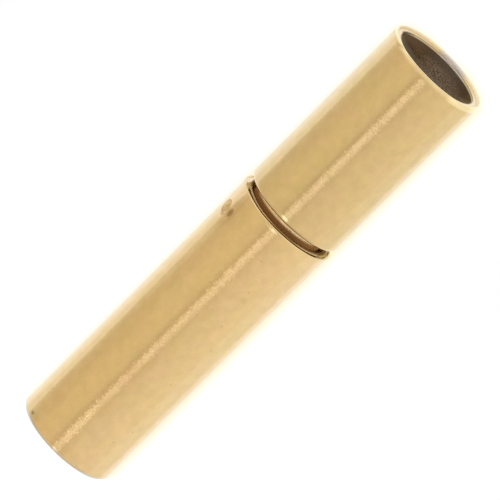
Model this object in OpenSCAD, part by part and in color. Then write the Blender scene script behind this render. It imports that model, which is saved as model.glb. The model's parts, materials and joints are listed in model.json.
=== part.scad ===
// Twist-lock clasp for a glued-in round cord. Two brass tubes of one diameter meet end to end:
// the long one holds the socket, and the short one carries a slotted nose that turns in it.
// The clasp lies on its side. X runs along its axis, towards the short tube's open end, and Z is up.
// The origin is on the surface below the middle of the clasp.

/* [Tubes] */
// Outside diameter of both tubes
tube_d = 5; // [5:0.1:5.6]
// Radius of the curve that each open end's outer edge is turned to
end_curve = 0.3; // [0.26:0.02:0.4]
// Length of that curve, along the tube
end_curve_len = 0.2; // [0.1:0.02:0.2]
// Rounding of the open ends' inner edges
inner_round = 0.08; // [0.02:0.01:0.08]
// Rounding of the plug tube's edge where it faces the socket tube
edge_round = 0.16; // [0.08:0.01:0.16]
// Rounding of the socket tube's edge where it faces the plug tube
socket_round = 0.05; // [0.02:0.01:0.08]
// Length of the long socket tube
socket_len = 14.31; // [12:0.01:18]
// Length of the short plug tube
plug_len = 9.11; // [7:0.01:12]
// Gap between the two tubes while the clasp is locked
joint_gap = 0.44; // [0.3:0.02:0.8]

/* [Bores] */
// Diameter of the bore that takes the cord, at each end
cord_bore_d = 4.2; // [4.1:0.05:4.3]
// Wall at each rim, outside the step in its mouth
rim_wall = 0.2; // [0.19:0.01:0.24]
// Depth of that step, at both open ends and where the nose leaves the plug tube
rim_step = 0.1; // [0.1:0.05:0.4]
// Width and depth of the fine groove round the face of the socket's rim
groove = 0.05; // [0.02:0.01:0.06]
// Distance of that groove from the tube's surface
groove_in = 0.1; // [0.1:0.01:0.12]
// Thickness of the web that closes each cord bore
web = 0.6; // [0.4:0.1:1]
// Clear depth of the socket below its rim
socket_depth = 3.5; // [3.2:0.1:4]

/* [Twist lock] */
// Diameter of the slotted nose
nose_d = 3.8; // [3.6:0.05:3.9]
// Wall of the nose
nose_wall = 0.3; // [0.25:0.05:0.4]
// How far the nose reaches below the socket's rim
nose_reach = 2.5; // [2.4:0.1:3]
// Diameter of the locking pins
pin_d = 0.6; // [0.5:0.05:0.7]
// Distance from the socket's rim to the pins' axis
pin_inset = 1.22; // [1.1:0.02:1.3]
// Direction of the first pin, from straight up, away from -Y
pin_lean = 63; // [0:0.5:120]
// Gap all round each pin in its hole
pin_gap = 0.01; // [0.005:0.005:0.02]
// How far the pins' outer ends lie below the tube's surface
pin_sunk = 0.02; // [0:0.01:0.1]
// Depth of the dish in each pin's outer end
pin_dish = 0.04; // [0.02:0.01:0.1]
// How far each pin reaches past the nose's wall
pin_past = 0.1; // [0:0.02:0.2]
// Turn from locked to free
twist = 60; // [40:5:80]
// Play between a pin and its slot, on each side
slot_play = 0.06; // [0.04:0.01:0.1]

/* [Hidden] */
$fn = 96;
// How far cuts and joined shapes overlap
eps = 0.05;
// Heights along the clasp's own axis, from the middle of its length
total_len = socket_len + joint_gap + plug_len;
socket_end = -total_len / 2;
socket_rim = socket_end + socket_len;
plug_rim = socket_rim + joint_gap;
plug_end = total_len / 2;
pin_at = socket_rim - pin_inset;
nose_tip = socket_rim - nose_reach;
// Radii from the clasp's axis
tube_r = tube_d / 2;
mouth_r = tube_r - rim_wall;
bore_r = cord_bore_d / 2;
nose_r = nose_d / 2;
nose_in_r = nose_r - nose_wall;
pin_r = pin_d / 2;
pin_top = tube_r - pin_sunk;
pin_foot = nose_in_r - pin_past;
slot_w = pin_d + 2 * slot_play;
// Angles about the axis, counted from straight down towards +Y
pin_angle = 180 - pin_lean;
pins_apart = 180;

// Lays a shape drawn upright along Z on its side, along X, at the tube's height above the surface
module lying()
    translate([0, 0, tube_r]) rotate([0, 90, 0]) children();

// A rod drawn along Z, turned to point outwards at an angle and a height
module radial(angle, height)
    translate([0, 0, height]) rotate([0, 0, angle]) rotate([0, 90, 0]) children();

// What a rounding of radius r takes off a square corner at the origin, whose metal lies at -x and -y
module corner_waste(r)
    translate([-r, -r]) difference() {
        square(r + eps);
        circle(r);
    }

// A ring or, with no inner radius, a disc, between two heights
module ring_section(inner, outer, low, high)
    translate([inner, low]) square([outer - inner, high - low]);

// Section of a tube's wall of the length given, with the end that faces the other tube at 0 and
// the open end above: that one's edges are rounded, and there is a shallow step in its mouth
module tube_section(length)
    difference() {
        ring_section(bore_r, tube_r, 0, length);
        ring_section(bore_r - eps, mouth_r, length - rim_step, length + eps);
        translate([tube_r - end_curve, length - end_curve_len]) difference() {
            square([end_curve + eps, end_curve_len + eps]);
            circle(end_curve);
        }
        translate([mouth_r, length]) mirror([1, 0]) corner_waste(inner_round);
    }

// Section of the socket tube's wall. A fine groove parts its rim's face into two rings.
module socket_section()
    translate([0, socket_rim]) mirror([0, 1]) difference() {
        tube_section(socket_len);
        ring_section(tube_r - groove_in - groove, tube_r - groove_in, -eps, groove);
        translate([tube_r, 0]) mirror([0, 1]) corner_waste(socket_round);
    }

// Section of the plug tube's wall. A shallow step leaves room round the nose.
module plug_section()
    translate([0, plug_rim]) difference() {
        tube_section(plug_len);
        ring_section(bore_r - eps, mouth_r, -eps, rim_step);
        translate([tube_r, 0]) mirror([0, 1]) corner_waste(edge_round);
    }

// Holes for the pins, through the socket's wall
module pin_holes()
    for (i = [0, 1])
        radial(pin_angle + i * pins_apart, pin_at)
            translate([0, 0, nose_r]) cylinder(r = pin_r + pin_gap, h = tube_r - nose_r + eps);

// A turned pin: it stands in the socket's wall, its outer end is dished and its foot is chamfered
module lock_pin(index)
    color("darkgoldenrod") lying() radial(pin_angle + index * pins_apart, pin_at) {
        chamfer = pin_r / 4;
        dish_r = (pow(pin_r, 2) + pow(pin_dish, 2)) / (2 * pin_dish);
        difference() {
            translate([0, 0, pin_foot + chamfer]) cylinder(r = pin_r, h = pin_top - pin_foot - chamfer);
            translate([0, 0, pin_top - pin_dish + dish_r]) sphere(dish_r);
        }
        translate([0, 0, pin_foot]) cylinder(r1 = pin_r - chamfer, r2 = pin_r, h = chamfer);
    }

// One bayonet slot: an open leg along the nose, and a leg round it that ends at the locked pin
module bayonet_slot() {
    free_angle = pin_angle - twist;
    deep = nose_in_r - pin_past - eps;
    tall = nose_r - deep + eps;
    for (angle = [free_angle, pin_angle])
        radial(angle, pin_at) translate([0, 0, deep]) cylinder(r = slot_w / 2, h = tall);
    rotate([0, 0, free_angle]) {
        translate([deep, -slot_w / 2, nose_tip - eps]) cube([tall, slot_w, pin_at - nose_tip + eps]);
        rotate_extrude(angle = twist) ring_section(deep, deep + tall, pin_at - slot_w / 2, pin_at + slot_w / 2);
    }
}

// The long tube: the cord's bore, a web, and the socket for the nose
module socket_tube()
    color("gold") lying() difference() {
        rotate_extrude() {
            socket_section();
            ring_section(0, bore_r + eps, socket_rim - socket_depth - web, socket_rim - socket_depth);
        }
        pin_holes();
    }

// The short tube: the cord's bore and a web, turned in one piece with the slotted nose
module plug_tube()
    color("gold") lying() difference() {
        rotate_extrude() {
            web_at = plug_rim + rim_step;
            plug_section();
            ring_section(0, bore_r + eps, web_at, web_at + web);
            ring_section(nose_in_r, nose_r, nose_tip, web_at + eps);
        }
        for (i = [0, 1])
            rotate([0, 0, i * pins_apart]) bayonet_slot();
    }

socket_tube();
lock_pin(0);  // lock_pin_1
lock_pin(1);  // lock_pin_2
plug_tube();
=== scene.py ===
import json
import math

import bpy
from mathutils import Matrix, Vector


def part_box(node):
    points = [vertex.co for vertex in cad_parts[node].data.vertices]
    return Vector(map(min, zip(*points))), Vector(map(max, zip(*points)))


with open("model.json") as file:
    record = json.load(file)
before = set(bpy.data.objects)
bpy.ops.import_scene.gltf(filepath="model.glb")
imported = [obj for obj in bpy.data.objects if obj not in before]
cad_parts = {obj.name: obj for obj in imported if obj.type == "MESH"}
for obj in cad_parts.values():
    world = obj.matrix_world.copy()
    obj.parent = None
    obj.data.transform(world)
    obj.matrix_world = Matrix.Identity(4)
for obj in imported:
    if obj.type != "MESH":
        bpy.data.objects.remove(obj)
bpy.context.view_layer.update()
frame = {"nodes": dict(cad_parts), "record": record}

# A twist-lock clasp lies on its side on a white floor: two gold tubes with a narrow gap between
# them. X runs along them towards the short tube's open end. In names, left is the +Y side and
# right is the -Y side, as in the photo. Places and sizes are in millimetres, and heights are
# counted from the tubes' axis.
MM = 0.001

# Sizes that the CAD model fixes, read from its nodes' boxes and its record
socket_low, socket_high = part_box("socket_tube")
TUBE_R = (socket_high.z - socket_low.z) / 2 / MM
OPEN_END_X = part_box("plug_tube")[1].x / MM
BORE_R = frame["record"]["mounts"][0]["dims"]["r_mm"]

# The camera looks down on the clasp from a place that leans this far from straight overhead,
# towards the short tube's open end. The clasp runs from the photo's lower left to its upper right.
VIEW_LEAN = math.radians(17.4)
CAMERA_FAR = 342
CAMERA_NEAREST = 10
LENS_MM = 569
LOOK_AT = (0.12, 0.156, TUBE_R)

# The room's light, by its angle in degrees round the clasp from straight overhead, towards -Y.
# The side towards +Y is dimmer and warmer, and there is a dark frame overhead.
ROOM = [
    (-90, (0.77, 0.70, 0.58)),
    (-76, (0.78, 0.70, 0.55)),
    (-57, (0.83, 0.75, 0.59)),
    (-40, (0.86, 0.78, 0.61)),
    (-25, (0.84, 0.77, 0.62)),
    (-18, (0.78, 0.71, 0.58)),
    (-14, (0.71, 0.63, 0.50)),
    (-10, (0.74, 0.66, 0.53)),
    (0, (0.76, 0.69, 0.57)),
    (9, (0.80, 0.73, 0.64)),
    (14, (0.84, 0.77, 0.68)),
    (25, (0.89, 0.83, 0.75)),
    (45, (0.93, 0.88, 0.82)),
    (66, (0.98, 0.93, 0.88)),
    (90, (1.00, 0.97, 0.93)),
]
# A narrow lamp hangs in that frame: its light by the same angle, and how strong it is towards
# the room's ends, by the X of the direction that it is seen in
LAMP = (0.24, 0.25, 0.32)
LAMP_ACROSS = [(-12, 0.0), (-10, 0.25), (-6, 0.92), (0, 1.0), (5, 0.50), (9, 0.0)]
LAMP_ALONG = [
    (-0.90, 0.90),
    (-0.65, 1.60),
    (-0.50, 2.60),
    (-0.38, 2.60),
    (-0.345, 0.78),
    (-0.331, 0.58),
    (-0.322, 0.66),
    (-0.310, 1.00),
    (-0.300, 1.10),
    (-0.296, 1.50),
    (-0.291, 2.05),
    (-0.284, 2.05),
    (-0.274, 1.92),
    (-0.268, 1.50),
    (-0.262, 1.05),
    (-0.24, 0.40),
    (-0.18, 0.0),
]
# The end of the room that the open bore faces is bright, less so across the dark frame, and
# the other end is dim and warm: the share of that end's light, by the X of the direction
BRIGHT_END = (1.13, 1.15, 1.16, 1)
TO_BRIGHT = [(-0.25, 0.0), (0.065, 0.45), (0.37, 0.79), (0.64, 0.91), (0.85, 1.0)]
FRAME_ACROSS = [(-60, 1.0), (-35, 0.72), (5, 0.72), (25, 1.0)]
DIM_END = (0.70, 0.63, 0.52, 1)
TO_DIM = [(-0.80, 1.0), (-0.38, 0.0)]

# The floor's light, by distance from the clasp towards +Y. Each channel is that light to its
# own power, and a part of it all comes from a matt surface that the room lights.
FLOOR_LIGHT = [
    (-100, 1.03),
    (-7.5, 1.03),
    (-6.2, 1.14),
    (0, 1.22),
    (6, 1.16),
    (9, 1.05),
    (15, 1.03),
    (18, 0.88),
    (30, 0.80),
    (100, 0.78),
]
FLOOR_WARMTH = (1.0, 1.3, 1.9)
FLOOR_MATT = 0.2
FLOOR_SIDE = 3000
FLOOR_BELOW = 0.01

# Most pairs of numbers from here on are zones: where a share is 0, and where it is 1.

# A warm glow from the gold is painted on the floor: how strong it is at the clasp's outline and how
# far it reaches, towards -Y and towards +Y, and before the open end. It starts just off the long
# tube's end. The open end's outline is flattened, and the glow is weaker in its middle.
GLOW = (0.86, 0.79, 0.54, 1)
GLOW_PEAK = (0.97, 0.85)
GLOW_REACH = (0.62, 0.34)
GLOW_OUTSIDE = (-0.10, -0.02)
GLOW_START = (-13.3, -12.5)
GLOW_END_PEAK = 0.86
GLOW_END_REACH = 0.95
GLOW_END_MIDDLE = 0.75
GLOW_END_SIDES = (0.2, 0.9)
OUTLINE_END_X = 11.16
OUTLINE_FLAT = 0.308
PAST_OUTLINE_END = (-0.01, 0.01)
# The floor that shows through the gap at both of its sides has the painted glow too
GAP_FLOOR_OUT = (-0.75, -0.25)
GAP_FLOOR_FROM = (0.9, 1.5)
GAP_FLOOR_TO = (2.7, 2.1)

# Colours of the plating, by blotches and finer lumps, and painted shade on each side of the short
# tube
GOLD_OLIVE = (0.785, 0.584, 0.281, 1)
GOLD_ROSY = (0.80, 0.576, 0.299, 1)
BLOTCHES_PER_MM = 1.1
BLOTCH_SPREAD = (0.35, 0.65)
LUMPS_PER_MM = 2.3
LUMP_SPREAD = (0.3, 0.7)
LUMP_LIGHT = (0.957, 1.043)
PLUG_LEFT_SHADE = (0.965, 0.995, 1.02, 1)
PLUG_RIGHT_SHADE = (0.935, 0.945, 0.91, 1)
PLUG_SHADE_SIDES = (1.0, -1.0)

# The surface is finely uneven, and more so in patches where its top is rubbed
WOBBLES_PER_MM = 11.0
WOBBLE_DETAIL = 3.0
WOBBLE = 0.09
RUBBED_WOBBLE = (0.10, 0.24)
RUBBED_PER_MM = 1.3
RUBBED_SPREAD = (0.4, 0.6)
RUBBED_ACROSS = (0.8, 0.4)
ABOVE_AXIS = (-0.1, 0.1)

# Shine of the plating, the bare parts and the nose. The gap's faces have no shine at all.
GOLD_ROUGHNESS = 0.08
GOLD_SPECULAR = 0.5
BARE_ROUGHNESS = 0.45
BARE_METALLIC = 0.1
NOSE_ROUGHNESS = 0.2

# The plating is paler round the long tube's open end, and the short tube's has a painted
# highlight at two places: for each, how far in it reaches, and where it is across the clasp
END_PALE = (0.85, 0.72, 0.54, 1)
END_PALE_SIDE = (0.66, 0.56, 0.42, 1)
END_PALE_DEEP = (0.18, 0.14)
END_PALE_SIDES = (0.8, 1.6)
RIM_PAINTED_HIGHLIGHT = (0.97, 0.78, 0.44, 1)
RIM_PAINTED_HIGHLIGHT_AT = [((0.265, 0.215), (-1.1, -1.4)), ((0.08, 0.04), (1.2, 1.5))]

# Inside this radius the open rims are cream, and greyer at their lowest part, near one Y. They
# shine like metal down to the lip round the bore.
RIM_R = 2.41
RIM_CREAM = (0.82, 0.67, 0.42, 1)
RIM_GREY = (0.66, 0.59, 0.53, 1)
RIM_GREY_Y = -0.4
RIM_GREY_NEAR = (0.95, 0.45)
RIM_GREY_LOW = (0.0, -1.0)
RIM_LIP = (BORE_R + 0.045, BORE_R + 0.025)
# A dark line, the crease, is painted just inside the bore, and a painted glint after it. Both are
# golden at the sides and greyer near that Y, and a painted lamp highlight covers both in one place.
RIM_CREASE = (0.67, 0.51, 0.25, 1)
RIM_CREASE_GREY = (0.36, 0.29, 0.21, 1)
RIM_GLINT_LINE = (0.96, 0.76, 0.44, 1)
RIM_GLINT_LINE_GREY = (0.98, 0.88, 0.74, 1)
RIM_LAMP_HIGHLIGHT = (0.80, 0.68, 0.58, 1)
RIM_LAMP_HIGHLIGHT_Y = -0.22
RIM_LAMP_HIGHLIGHT_NEAR = (0.40, 0.05)
PAST_CREASE = (0.1225, 0.1375)
CREASE_R = (BORE_R + 0.045, BORE_R + 0.035)
# A dark place inside the rim, on its +Y side
RIM_SHADE = (0.10, 0.06, 0.02, 1)
RIM_SHADE_Y = (1.60, 2.05)
RIM_SHADE_R = (2.185, 2.135)
RIM_SHADE_UP = (-0.02, -0.2)

# The bores are bare and brown past the plated mouth, with a fine grain: greyer near one Y, and
# warm at the -Y edge. Their light, just inside and further in, is given on the -Y side and on
# the +Y side.
BORE_WALL = (BORE_R + 0.015, BORE_R + 0.005)
PAST_PLATING = (0.19, 0.22)
BORE_BROWN = (0.163, 0.099, 0.047, 1)
BORE_GREY = (0.22, 0.157, 0.103, 1)
BORE_GREY_Y = -0.35
BORE_GREY_NEAR = (1.2, 0.4)
BORE_EDGE = (0.28, 0.17, 0.045, 1)
BORE_EDGE_Y = (-1.6, -2.1)
BORE_SIDES = (0.5, 1.2)
BORE_SHALLOW = (0.76, 1.18)
BORE_DEEPER = (1.12, 0.86)
TO_DEEPER = (0.45, 0.65)
GRAIN_LIGHT = (0.50, 1.95)
GRAINS_PER_MM = 21.0
GRAIN_SPREAD = (0.40, 0.62)
GRAIN_ACROSS = (1.9, 1.2)
GRAIN_DEEP = (0.4, 0.75)
GRAIN_AT_MOUTH = 0.1
# Further in, and higher up, they are paler: depth counts in full, and height by half
BORE_PALE = (0.46, 0.37, 0.27, 1)
BORE_PALE_FROM = (-0.06, 0.06)
BORE_PALE_SHARE = 0.35
UP_COUNTS = 0.5

# Past this depth from the open ends is the gap between the tubes. The faces there are bare
# inside these radii, by Y.
AT_JOINT = (7.25, 7.75)
SOCKET_FACE_R = [(1.3, 2.47), (1.9, 2.49), (1.95, 2.49), (2.08, 2.48)]
PLUG_FACE_R = [(1.3, 2.36), (1.9, 2.45)]
FINE_EDGE = (-0.01, 0.01)
# The bare faces end in a tip at each side. The +Y end leans outwards with height.
FACE_END_LEFT = (2.20, 2.13)
FACE_END_LEAN = (0.03, 0.12)
FACE_END_LEAN_UP = (0.1, 0.6)
FACE_END_RIGHT = (-2.42, -2.36)
# Painted rings of light and shade on the socket's face: a glint at its inner edge, a ring of
# shade and a highlight outside it. All of them lie further in on the +Y side, and the glint is
# brighter away from its middle.
FACE_EDGE_HIGHLIGHT = (0.60, 0.39, 0.19, 1)
FACE_GLINT = (1.0, 0.74, 0.42, 1)
FACE_SHADE_RING = (0.11, 0.055, 0.008, 1)
FACE_OUTER_HIGHLIGHT = (0.95, 0.72, 0.40, 1)
RINGS_FROM_R = (2.205, 2.175)
RINGS_FROM_SIDES = (1.2, 1.7)
DARK_RING_R = (2.325, 2.345)
OUTER_RING_R = (2.465, 2.485)
RINGS_SHIFT = 0.1
RINGS_SHIFT_SIDES = (0.9, 1.9)
GLINT_MIDDLE_Y = -0.35
GLINT_OFF = (0.55, 0.9)
# Inside the rings it is brown painted shade, and tan towards the -Y side. The hollow there is pale,
# and the wall round it is dark with painted shade.
GAP_SHADE_BROWN = (0.35, 0.165, 0.052, 1)
GAP_SHADE_TAN = (0.44, 0.23, 0.075, 1)
GAP_TAN_Y = (-0.9, -1.5)
GAP_PALE = (0.72, 0.56, 0.34, 1)
GAP_PALE_Y = (-1.65, -1.85)
GAP_PALE_R = (1.98, 2.02)
GAP_WALL_R = (2.10, 2.12)
GAP_DARK_Y = (-1.5, -1.8)
# The tips are dark with painted shade, with an olive outer part. There is a thin line at the -Y
# tip, and that tip's upper part has the line's colour. The +Y tip has more of the painted shade
# below the axis, and a painted highlight outside.
TIPS = (2.02, 2.10)
TIP_SHADE = (0.30, 0.20, 0.055, 1)
TIP_OLIVE = (0.84, 0.67, 0.29, 1)
TIP_OLIVE_R = (2.215, 2.285)
TIP_LINE = (0.56, 0.42, 0.17, 1)
TIP_LINE_UP = (0.65, 1.0)
TIP_LINE_FROM = (-2.345, -2.325)
TIP_LINE_TO = (-2.275, -2.295)
TIP_LOW_SHARE = 0.25
TIP_HIGH_UP = (-0.05, 0.3)
TIP_OUTER_HIGHLIGHT = (1.0, 0.80, 0.46, 1)
TIP_OUTER_R = (2.385, 2.415)
LEFT_HALF = (-0.05, 0.05)
RIGHT_HALF = (0.05, -0.05)
# The nose in the gap is clean and polished near the short tube, on its upper side
NOSE_GOLD = (0.84, 0.62, 0.34, 1)
NOSE_CLEAN_X = (2.51, 2.59)
NOSE_R = (1.97, 1.93)
NOSE_UP = (0.75, 1.15)
# The short tube's edge is rolled over a little where it faces the long tube
ROLLED_X = (3.08, 3.07)
ROLLED_R = (2.35, 2.37)
ROLLED_BY = 0.056

# Soft tints and small marks, dark and pale, on the long tube seen from above: X, Y and the two
# radii, and what each does to the gold. It fades out over the last share of each radius.
UPPER_SIDE = (0.1, 0.3)
TINT_SOFT = 0.6
TINTS = [
    (-7.21, -1.40, 0.60, 0.65, (0.975, 0.99, 0.93, 1)),
    (-6.94, 0.05, 1.10, 0.40, (0.985, 0.955, 0.95, 1)),
    (-9.95, -0.58, 1.20, 0.60, (0.995, 1.0, 1.05, 1)),
    (-2.76, 1.15, 1.80, 0.60, (1.0, 1.01, 1.05, 1)),
    (-11.55, 1.80, 0.40, 0.40, (0.95, 1.03, 1.05, 1)),
    (1.25, 1.87, 1.20, 0.27, (0.85, 0.79, 0.71, 1)),
    (1.12, 2.03, 0.28, 0.08, (0.88, 0.83, 0.73, 1)),
]
MARK_SOFT = 0.5
MARKS = [
    (-2.565, -1.315, 0.075, 0.065, (0.865, 0.85, 0.82, 1)),
    (-0.579, -1.099, 0.075, 0.075, (0.87, 0.85, 0.81, 1)),
    (-1.02, -1.22, 0.18, 0.20, (0.94, 0.925, 0.895, 1)),
    (-9.853, -1.574, 0.065, 0.065, (0.885, 0.87, 0.84, 1)),
    (-8.998, -1.834, 0.05, 0.05, (0.86, 0.835, 0.79, 1)),
    (-6.153, -1.553, 0.07, 0.07, (0.915, 0.90, 0.87, 1)),
    (0.886, -0.536, 0.075, 0.075, (0.875, 0.855, 0.81, 1)),
    (-3.82, -1.76, 0.10, 0.08, (0.93, 0.92, 0.89, 1)),
    (-11.60, 1.838, 0.10, 0.10, (0.60, 0.56, 0.50, 1)),
    (-11.56, 1.62, 0.16, 0.30, (0.94, 0.935, 0.90, 1)),
    # A painted highlight on the long tube's edge at the joint
    (2.245, 0.15, 0.075, 0.42, (1.22, 1.45, 1.66, 1)),
    # Painted shade in the crevice beside the pin
    (1.19, 1.885, 0.27, 0.12, (0.48, 0.41, 0.30, 1)),
    (0.84, 2.16, 0.14, 0.15, (0.72, 0.66, 0.62, 1)),
]
# A painted highlight on the short tube's edge at its top, as on the long tube's
PLUG_EDGE_HIGHLIGHTS = [(2.985, 0.10, 0.09, 0.42, (1.13, 1.28, 1.38, 1))]

# The pin's end that shows, by distance from the clasp's middle plane, with painted shade at part
# of its edge. Its middle is at this X and distance, and it is seen at a slant.
PIN_X = 1.16
PIN_OFF = 2.21
PIN_SLANT = 0.454
PIN_COLOURS = [
    (2.05, (0.50, 0.285, 0.075)),
    (2.16, (0.57, 0.345, 0.10)),
    (2.25, (0.72, 0.50, 0.215)),
    (2.34, (0.85, 0.66, 0.34)),
]
PIN_EDGE_SHADE = (0.36, 0.21, 0.07, 1)
PIN_EDGE_SHADE_R = (0.23, 0.26)
PIN_EDGE_SHADE_SIDE = (0.1, 0.28)
PIN_BLOTCHES_PER_MM = 6.0
PIN_BLOTCH_SPREAD = (0.3, 0.7)
PIN_BLOTCH_LIGHT = (0.85, 1.15)
PIN_ROUGHNESS = 0.38
PIN_WOBBLES_PER_MM = 12.0
PIN_WOBBLE = 0.1


# Nodes

def add(tree, kind, inputs=None, **settings):
    """A node with its settings, and its inputs given as values or as sockets to link from."""
    node = tree.nodes.new(kind)
    for name, value in settings.items():
        setattr(node, name, value)
    for key, value in (inputs or {}).items():
        if isinstance(value, bpy.types.NodeSocket):
            tree.links.new(value, node.inputs[key])
        else:
            node.inputs[key].default_value = value
    return node


def math_node(tree, operation, a, b=0.0):
    return add(tree, "ShaderNodeMath", {0: a, 1: b}, operation=operation).outputs[0]


def distance(tree, value, middle):
    """How far a number is from another, on either side."""
    return math_node(tree, "ABSOLUTE", math_node(tree, "SUBTRACT", value, middle))


def product(tree, first, *others):
    for other in others:
        first = math_node(tree, "MULTIPLY", first, other)
    return first


def vector_node(tree, operation, inputs):
    return add(tree, "ShaderNodeVectorMath", inputs, operation=operation).outputs[0]


def scaled(tree, vector, factor):
    return vector_node(tree, "SCALE", {0: vector, "Scale": factor})


def length_node(tree, x, y):
    """The length of a vector that has two parts."""
    vector = add(tree, "ShaderNodeCombineXYZ", {"X": x, "Y": y}).outputs[0]
    return add(tree, "ShaderNodeVectorMath", {0: vector}, operation="LENGTH").outputs["Value"]


def map_range(tree, value, old, new):
    """A value moved from one range to another, and kept within it."""
    node = add(tree, "ShaderNodeMapRange", {
        "Value": value,
        "From Min": old[0],
        "From Max": old[1],
        "To Min": new[0],
        "To Max": new[1],
    })
    return node.outputs[0]


def share(tree, value, zone):
    """0 at the zone's first value and 1 at its second, and straight between them."""
    return map_range(tree, value, zone, (0, 1))


def between(tree, factor, first, second):
    """A number between two numbers."""
    return map_range(tree, factor, (0, 1), (first, second))


def mix_node(tree, factor, first, second, how="MIX"):
    """A colour between two colours, which are given as values or as sockets."""
    node = add(tree, "ShaderNodeMix", {0: factor, 6: first, 7: second},
               data_type="RGBA", blend_type=how)
    return node.outputs[2]


def colour_curve(tree, value, points):
    """A colour that follows straight lines through (value, colour) points."""
    first, last = points[0][0], points[-1][0]
    node = add(tree, "ShaderNodeValToRGB", {"Fac": map_range(tree, value, (first, last), (0, 1))})
    ramp = node.color_ramp
    while len(ramp.elements) < len(points):
        ramp.elements.new(0.5)
    for element, (at, colour) in zip(ramp.elements, points):
        element.position = (at - first) / (last - first)
        element.color = colour + (1,)
    return node.outputs["Color"]


def number_curve(tree, value, points):
    """A number that follows straight lines through (value, number) points."""
    top = max(number for _, number in points)
    greys = [(at, (number / top,) * 3) for at, number in points]
    return product(tree, colour_curve(tree, value, greys), top)


def noise_node(tree, point, per_mm, detail=2.0, output="Fac"):
    node = add(tree, "ShaderNodeTexNoise", {"Vector": point, "Scale": per_mm, "Detail": detail})
    return node.outputs[output]


# Camera

def make_camera():
    lean_x, lean_z = math.cos(VIEW_LEAN), -math.sin(VIEW_LEAN)
    right = Vector((lean_x, -1, lean_z)).normalized()
    up = Vector((lean_x, 1, lean_z)).normalized()
    back = right.cross(up)
    data = bpy.data.cameras.new("camera")
    data.lens = LENS_MM
    data.clip_start = CAMERA_NEAREST * MM
    camera = bpy.data.objects.new("camera", data)
    bpy.context.scene.collection.objects.link(camera)
    turn = Matrix((right, up, back)).transposed().to_4x4()
    stand = (Vector(LOOK_AT) + back * CAMERA_FAR) * MM
    camera.matrix_world = Matrix.Translation(stand) @ turn
    bpy.context.scene.camera = camera


# Studio

def make_world():
    world = bpy.data.worlds.new("studio")
    world.use_nodes = True
    tree = world.node_tree
    tree.nodes.clear()
    way = add(tree, "ShaderNodeTexCoord").outputs["Generated"]
    split = add(tree, "ShaderNodeSeparateXYZ", {0: way})
    along = split.outputs["X"]
    towards = product(tree, split.outputs["Y"], -1.0)
    turn = math_node(tree, "ARCTAN2", towards, split.outputs["Z"])
    angle = product(tree, turn, 180 / math.pi)

    brighter = product(tree, number_curve(tree, along, TO_BRIGHT),
                       number_curve(tree, angle, FRAME_ACROSS))
    room = mix_node(tree, brighter, colour_curve(tree, angle, ROOM), BRIGHT_END)
    room = mix_node(tree, number_curve(tree, along, TO_DIM), room, DIM_END)
    strength = product(tree, number_curve(tree, angle, LAMP_ACROSS),
                       number_curve(tree, along, LAMP_ALONG))
    light = vector_node(tree, "ADD", {0: room, 1: scaled(tree, LAMP, strength)})

    sky = add(tree, "ShaderNodeBackground", {"Color": light, "Strength": 1.0})
    out = add(tree, "ShaderNodeOutputWorld")
    tree.links.new(sky.outputs[0], out.inputs["Surface"])
    bpy.context.scene.world = world


def new_material(name):
    material = bpy.data.materials.new(name)
    material.use_nodes = True
    material.node_tree.nodes.clear()
    return material, material.node_tree


def finish_material(tree, shader):
    out = add(tree, "ShaderNodeOutputMaterial")
    tree.links.new(shader.outputs[0], out.inputs["Surface"])


def glow_share(tree, x, y):
    """The painted glow's share, by how far a point of the floor is outside the clasp's outline."""
    across = math_node(tree, "ABSOLUTE", y)
    side = share(tree, y, (-TUBE_R, TUBE_R))
    beside = math_node(tree, "SUBTRACT", across, TUBE_R)
    squared = math_node(tree, "SUBTRACT", TUBE_R ** 2, product(tree, across, across))
    half_width = math_node(tree, "SQRT", math_node(tree, "MAXIMUM", squared, 0.0))
    outline = math_node(tree, "ADD", product(tree, half_width, OUTLINE_FLAT), OUTLINE_END_X)
    before = math_node(tree, "SUBTRACT", x, outline)

    at_sides = map_range(tree, beside, (0.0, between(tree, side, *GLOW_REACH)),
                         (between(tree, side, *GLOW_PEAK), 0.0))
    at_end = product(tree, map_range(tree, before, (0.0, GLOW_END_REACH), (GLOW_END_PEAK, 0.0)),
                     map_range(tree, across, GLOW_END_SIDES, (GLOW_END_MIDDLE, 1.0)))
    outside = share(tree, math_node(tree, "MAXIMUM", beside, before), GLOW_OUTSIDE)
    in_gap = product(tree, share(tree, beside, GAP_FLOOR_OUT), share(tree, x, GAP_FLOOR_FROM),
                     share(tree, x, GAP_FLOOR_TO))
    return product(tree, at_sides,
                   between(tree, share(tree, before, PAST_OUTLINE_END), 1.0, at_end),
                   math_node(tree, "MAXIMUM", outside, in_gap), share(tree, x, GLOW_START))


def floor_material():
    material, tree = new_material("pale_floor")
    coordinates = add(tree, "ShaderNodeTexCoord").outputs["Object"]
    split = add(tree, "ShaderNodeSeparateXYZ", {0: scaled(tree, coordinates, 1 / MM)})
    lights = [
        (y, tuple(light ** power - FLOOR_MATT for power in FLOOR_WARMTH))
        for y, light in FLOOR_LIGHT
    ]
    glow = glow_share(tree, split.outputs["X"], split.outputs["Y"])
    colour = mix_node(tree, glow, colour_curve(tree, split.outputs["Y"], lights), GLOW)
    light = add(tree, "ShaderNodeEmission", {"Color": colour, "Strength": 1.0})
    matt = add(tree, "ShaderNodeBsdfDiffuse", {"Color": (FLOOR_MATT,) * 3 + (1,)})
    finish_material(tree, add(tree, "ShaderNodeAddShader", {0: light.outputs[0], 1: matt.outputs[0]}))
    return material


def make_floor():
    half = FLOOR_SIDE * MM / 2
    corners = [(-half, -half, 0), (half, -half, 0), (half, half, 0), (-half, half, 0)]
    mesh = bpy.data.meshes.new("floor")
    mesh.from_pydata(corners, [], [(0, 1, 2, 3)])
    mesh.materials.append(floor_material())
    floor = bpy.data.objects.new("floor", mesh)
    floor.location.z = -FLOOR_BELOW * MM
    bpy.context.scene.collection.objects.link(floor)


# Materials

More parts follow.
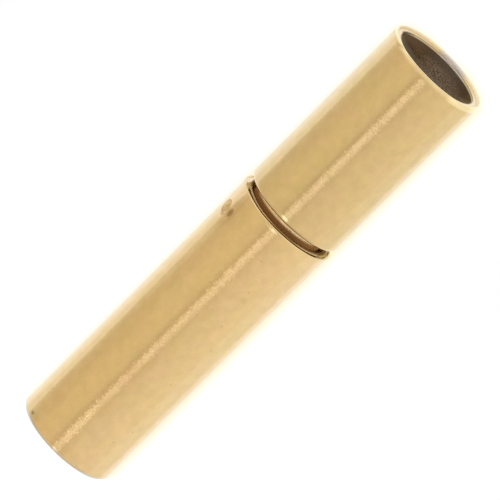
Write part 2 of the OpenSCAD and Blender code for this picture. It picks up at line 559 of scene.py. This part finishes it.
class Place:
    """Where a point is on the clasp, in millimetres, whatever way its half is turned."""

    def __init__(self, tree):
        coordinates = add(tree, "ShaderNodeTexCoord").outputs["Object"]
        self.point = scaled(tree, coordinates, 1 / MM)
        split = add(tree, "ShaderNodeSeparateXYZ", {0: self.point})
        self.x = split.outputs["X"]
        self.y = split.outputs["Y"]
        self.off_middle = math_node(tree, "ABSOLUTE", self.y)
        self.up = math_node(tree, "SUBTRACT", split.outputs["Z"], TUBE_R)
        self.radius = length_node(tree, self.y, self.up)
        self.deep = math_node(tree, "SUBTRACT", OPEN_END_X, math_node(tree, "ABSOLUTE", self.x))


def wobbled_normal(tree, point, per_mm, amount, rolled=None):
    """The surface's normal with a fine unevenness, turned towards -X by the share rolled."""
    colour = noise_node(tree, point, per_mm, WOBBLE_DETAIL, "Color")
    centred = vector_node(tree, "SUBTRACT", {0: colour, 1: (0.5, 0.5, 0.5)})
    small = scaled(tree, centred, amount)
    flat = add(tree, "ShaderNodeNewGeometry").outputs["Normal"]
    if rolled:
        flat = vector_node(tree, "ADD", {0: flat, 1: scaled(tree, (-1.0, 0.0, 0.0), rolled)})
    return vector_node(tree, "NORMALIZE", {0: vector_node(tree, "ADD", {0: flat, 1: small})})


def marked(tree, place, gold, marks, soft):
    """The gold tinted in ellipses on the clasp's upper side, which fade out over their soft part."""
    for x, y, reach_x, reach_y, tint in marks:
        far_x = product(tree, math_node(tree, "SUBTRACT", place.x, x), 1 / reach_x)
        far_y = product(tree, math_node(tree, "SUBTRACT", place.y, y), 1 / reach_y)
        inside = share(tree, length_node(tree, far_x, far_y), (1, 1 - soft))
        on_top = product(tree, inside, share(tree, place.up, UPPER_SIDE))
        gold = mix_node(tree, on_top, gold, tint, "MULTIPLY")
    return gold


def plating_colour(tree, place):
    """Gold with olive and rosy blotches and finer light and dark lumps."""
    blotch = share(tree, noise_node(tree, place.point, BLOTCHES_PER_MM), BLOTCH_SPREAD)
    lump = noise_node(tree, place.point, LUMPS_PER_MM)
    return scaled(tree, mix_node(tree, blotch, GOLD_OLIVE, GOLD_ROSY),
                  map_range(tree, lump, LUMP_SPREAD, LUMP_LIGHT))


def socket_plating(tree, place):
    """The long tube's gold, with its tints and marks, among them a painted highlight and painted
    shade, and paler at its open end.
    """
    gold = marked(tree, place, plating_colour(tree, place), TINTS, TINT_SOFT)
    gold = marked(tree, place, gold, MARKS, MARK_SOFT)
    pale = mix_node(tree, share(tree, place.off_middle, END_PALE_SIDES), END_PALE, END_PALE_SIDE)
    return mix_node(tree, share(tree, place.deep, END_PALE_DEEP), gold, pale)


def plug_plating(tree, place):
    """The short tube's gold, with painted highlights at its open end and painted shade on each side.
    """
    # A painted highlight at two places of the open end
    painted_highlight = 0.0
    for deep, across in RIM_PAINTED_HIGHLIGHT_AT:
        here = product(tree, share(tree, place.deep, deep), share(tree, place.y, across))
        painted_highlight = math_node(tree, "MAXIMUM", painted_highlight, here)
    gold = mix_node(tree, painted_highlight, plating_colour(tree, place), RIM_PAINTED_HIGHLIGHT)
    # A painted highlight on the edge at the joint
    gold = marked(tree, place, gold, PLUG_EDGE_HIGHLIGHTS, MARK_SOFT)
    # Painted shade: each side of the short tube is darkened by its own tint
    tint = mix_node(tree, share(tree, place.y, PLUG_SHADE_SIDES), PLUG_LEFT_SHADE, PLUG_RIGHT_SHADE)
    return mix_node(tree, 1.0, gold, tint, "MULTIPLY")


def rim_colour(tree, place):
    """Cream, but greyer at the lowest part of the rim, with a dark line, a painted glint and a
    painted lamp highlight round the bore, and painted shade on the +Y side.
    """
    near = share(tree, distance(tree, place.y, RIM_GREY_Y), RIM_GREY_NEAR)
    cream = mix_node(tree, product(tree, near, share(tree, place.up, RIM_GREY_LOW)),
                     RIM_CREAM, RIM_GREY)
    crease = mix_node(tree, near, RIM_CREASE, RIM_CREASE_GREY)
    line = mix_node(tree, near, RIM_GLINT_LINE, RIM_GLINT_LINE_GREY)
    inner = mix_node(tree, share(tree, place.deep, PAST_CREASE), crease, line)
    # A painted highlight of the lamp, over the dark line and the glint alike
    near_middle = share(tree, distance(tree, place.y, RIM_LAMP_HIGHLIGHT_Y), RIM_LAMP_HIGHLIGHT_NEAR)
    inner = mix_node(tree, near_middle, inner, RIM_LAMP_HIGHLIGHT)
    cream = mix_node(tree, share(tree, place.radius, CREASE_R), cream, inner)
    shade = product(tree, share(tree, place.y, RIM_SHADE_Y), share(tree, place.radius, RIM_SHADE_R),
                    share(tree, place.up, RIM_SHADE_UP))
    return mix_node(tree, shade, cream, RIM_SHADE)


def bore_colour(tree, place):
    """Brown, greyer in the middle, with a fine grain a little way in, and paler beyond."""
    side = share(tree, place.y, BORE_SIDES)
    level = between(tree, share(tree, place.deep, TO_DEEPER), between(tree, side, *BORE_SHALLOW),
                    between(tree, side, *BORE_DEEPER))
    greyer = share(tree, distance(tree, place.y, BORE_GREY_Y), BORE_GREY_NEAR)
    brown = mix_node(tree, share(tree, place.y, BORE_EDGE_Y),
                     mix_node(tree, greyer, BORE_BROWN, BORE_GREY), BORE_EDGE)
    brown = scaled(tree, brown, level)
    grain = map_range(tree, noise_node(tree, place.point, GRAINS_PER_MM), GRAIN_SPREAD, GRAIN_LIGHT)
    grainy = product(tree, share(tree, place.off_middle, GRAIN_ACROSS),
                     map_range(tree, place.deep, GRAIN_DEEP, (GRAIN_AT_MOUTH, 1)))
    brown = scaled(tree, brown, between(tree, grainy, 1.0, grain))
    further = math_node(tree, "ADD", place.deep, product(tree, place.up, UP_COUNTS))
    pale = map_range(tree, further, BORE_PALE_FROM, (0, BORE_PALE_SHARE))
    return mix_node(tree, pale, brown, BORE_PALE)


def ring_radius(tree, place):
    """The radius that the rings' radii are compared with: they lie further in on the +Y side."""
    shift = map_range(tree, place.y, RINGS_SHIFT_SIDES, (0.0, RINGS_SHIFT))
    return math_node(tree, "ADD", place.radius, shift)


def face_colour(tree, place):
    """Painted rings on the face: a glint at the edge, a ring of shade and a highlight, and brown
    painted shade inside them.
    """
    radius = ring_radius(tree, place)
    glint = share(tree, distance(tree, place.y, GLINT_MIDDLE_Y), GLINT_OFF)
    rings = mix_node(tree, glint, FACE_EDGE_HIGHLIGHT, FACE_GLINT)
    rings = mix_node(tree, share(tree, radius, DARK_RING_R), rings, FACE_SHADE_RING)
    rings = mix_node(tree, share(tree, radius, OUTER_RING_R), rings, FACE_OUTER_HIGHLIGHT)

    brown = mix_node(tree, share(tree, place.y, GAP_TAN_Y), GAP_SHADE_BROWN, GAP_SHADE_TAN)
    hollow = product(tree, share(tree, place.y, GAP_PALE_Y), share(tree, place.radius, GAP_PALE_R))
    deep = mix_node(tree, hollow, brown, GAP_PALE)
    wall = mix_node(tree, share(tree, place.y, GAP_DARK_Y), brown, TIP_SHADE)
    inner = mix_node(tree, share(tree, place.radius, GAP_WALL_R), deep, wall)

    from_radius = map_range(tree, place.y, RINGS_FROM_SIDES, RINGS_FROM_R)
    past = math_node(tree, "SUBTRACT", radius, from_radius)
    return mix_node(tree, share(tree, past, FINE_EDGE), inner, rings)


def tip_colour(tree, place):
    """The gap's two tips: painted shade, with an olive outer part, a painted highlight outside the +Y
    one, and a thin line at the -Y one.
    """
    right = share(tree, place.y, RIGHT_HALF)
    upper_right = product(tree, share(tree, place.up, TIP_LINE_UP), right)
    olive = mix_node(tree, upper_right, TIP_OLIVE, TIP_LINE)
    high = math_node(tree, "MAXIMUM", right,
                     map_range(tree, place.up, TIP_HIGH_UP, (TIP_LOW_SHARE, 1.0)))
    olive_share = product(tree, share(tree, ring_radius(tree, place), TIP_OLIVE_R), high)
    tip = mix_node(tree, olive_share, TIP_SHADE, olive)
    outer = product(tree, share(tree, place.radius, TIP_OUTER_R), share(tree, place.y, LEFT_HALF))
    tip = mix_node(tree, outer, tip, TIP_OUTER_HIGHLIGHT)
    line = product(tree, share(tree, place.y, TIP_LINE_TO), share(tree, place.y, TIP_LINE_FROM))
    return mix_node(tree, line, tip, TIP_LINE)


def bare_share(tree, place, at_joint, face_r):
    """1 where the surface is bare: inside the rims, in the bores, and on the gap's faces."""
    lean = map_range(tree, place.up, FACE_END_LEAN_UP, FACE_END_LEAN)
    left = share(tree, math_node(tree, "SUBTRACT", place.y, lean), FACE_END_LEFT)
    face_ends = product(tree, left, share(tree, place.y, FACE_END_RIGHT))
    limit = between(tree, at_joint, RIM_R, number_curve(tree, place.y, face_r))
    return product(tree, share(tree, math_node(tree, "SUBTRACT", limit, place.radius), FINE_EDGE),
                   between(tree, at_joint, 1.0, face_ends))


def unevenness(tree, place):
    """How uneven the surface is: more in patches along the clasp's top, where it is rubbed."""
    near_middle = product(tree, share(tree, place.off_middle, RUBBED_ACROSS),
                     share(tree, place.up, ABOVE_AXIS))
    patches = noise_node(tree, place.point, RUBBED_PER_MM)
    return between(tree, near_middle, WOBBLE, map_range(tree, patches, RUBBED_SPREAD, RUBBED_WOBBLE))


def tube_material(name, plating, face_r, is_rolled=False):
    """Gold outside; rims, bores and the gap's faces by how far in from the surface they lie."""
    material, tree = new_material(name)
    place = Place(tree)
    at_joint = share(tree, place.deep, AT_JOINT)
    bare = bare_share(tree, place, at_joint, face_r)
    in_bore = product(tree, share(tree, place.radius, BORE_WALL),
                      share(tree, place.deep, PAST_PLATING))
    on_nose = product(tree, share(tree, place.radius, NOSE_R), share(tree, place.x, NOSE_CLEAN_X),
                      share(tree, place.up, NOSE_UP))

    open_end = mix_node(tree, in_bore, rim_colour(tree, place), bore_colour(tree, place))
    tips = share(tree, place.off_middle, TIPS)
    joint = mix_node(tree, tips, face_colour(tree, place), tip_colour(tree, place))
    colour = mix_node(tree, bare, plating(tree, place), mix_node(tree, at_joint, open_end, joint))

    dull = product(tree, bare, between(tree, at_joint, share(tree, place.radius, RIM_LIP), 1.0))
    metallic = between(tree, dull, 1.0, between(tree, at_joint, BARE_METALLIC, 0.0))
    roughness = between(tree, bare, GOLD_ROUGHNESS, BARE_ROUGHNESS)

    rolled = None
    if is_rolled:
        rolled = product(tree, share(tree, place.x, ROLLED_X), share(tree, place.radius, ROLLED_R),
                         ROLLED_BY)
    finish_material(tree, add(tree, "ShaderNodeBsdfPrincipled", {
        "Base Color": mix_node(tree, on_nose, colour, NOSE_GOLD),
        "Metallic": between(tree, on_nose, metallic, 1.0),
        "Roughness": between(tree, on_nose, roughness, NOSE_ROUGHNESS),
        "Specular IOR Level": between(tree, product(tree, bare, at_joint), GOLD_SPECULAR, 0.0),
        "Normal": wobbled_normal(tree, place.point, WOBBLES_PER_MM, unevenness(tree, place), rolled),
    }))
    return material


def pin_material():
    """The pins' ends: browner towards the top, blotched, and with painted shade at part of the edge.
    """
    material, tree = new_material("pin_plate")
    place = Place(tree)
    blotch = noise_node(tree, place.point, PIN_BLOTCHES_PER_MM)
    colour = scaled(tree, colour_curve(tree, place.off_middle, PIN_COLOURS),
                    map_range(tree, blotch, PIN_BLOTCH_SPREAD, PIN_BLOTCH_LIGHT))
    along = math_node(tree, "SUBTRACT", place.x, PIN_X)
    off = product(tree, math_node(tree, "SUBTRACT", place.off_middle, PIN_OFF), 1 / PIN_SLANT)
    shaded_edge = product(tree, share(tree, length_node(tree, along, off), PIN_EDGE_SHADE_R),
                   share(tree, math_node(tree, "SUBTRACT", along, off), PIN_EDGE_SHADE_SIDE))
    finish_material(tree, add(tree, "ShaderNodeBsdfPrincipled", {
        "Base Color": mix_node(tree, shaded_edge, colour, PIN_EDGE_SHADE),
        "Metallic": 1.0,
        "Roughness": PIN_ROUGHNESS,
        "Normal": wobbled_normal(tree, place.point, PIN_WOBBLES_PER_MM, PIN_WOBBLE),
    }))
    return material


def dress(node, material):
    mesh = frame["nodes"][node].data
    mesh.materials.clear()
    mesh.materials.append(material)


make_camera()
make_world()
make_floor()
dress("socket_tube", tube_material("polished_plate", socket_plating, SOCKET_FACE_R))
dress("plug_tube", tube_material("polished_plate_plug", plug_plating, PLUG_FACE_R, is_rolled=True))
pin_plate = pin_material()
for name in ["lock_pin_1", "lock_pin_2"]:
    dress(name, pin_plate)

bpy.context.scene.view_settings.view_transform = "Standard"
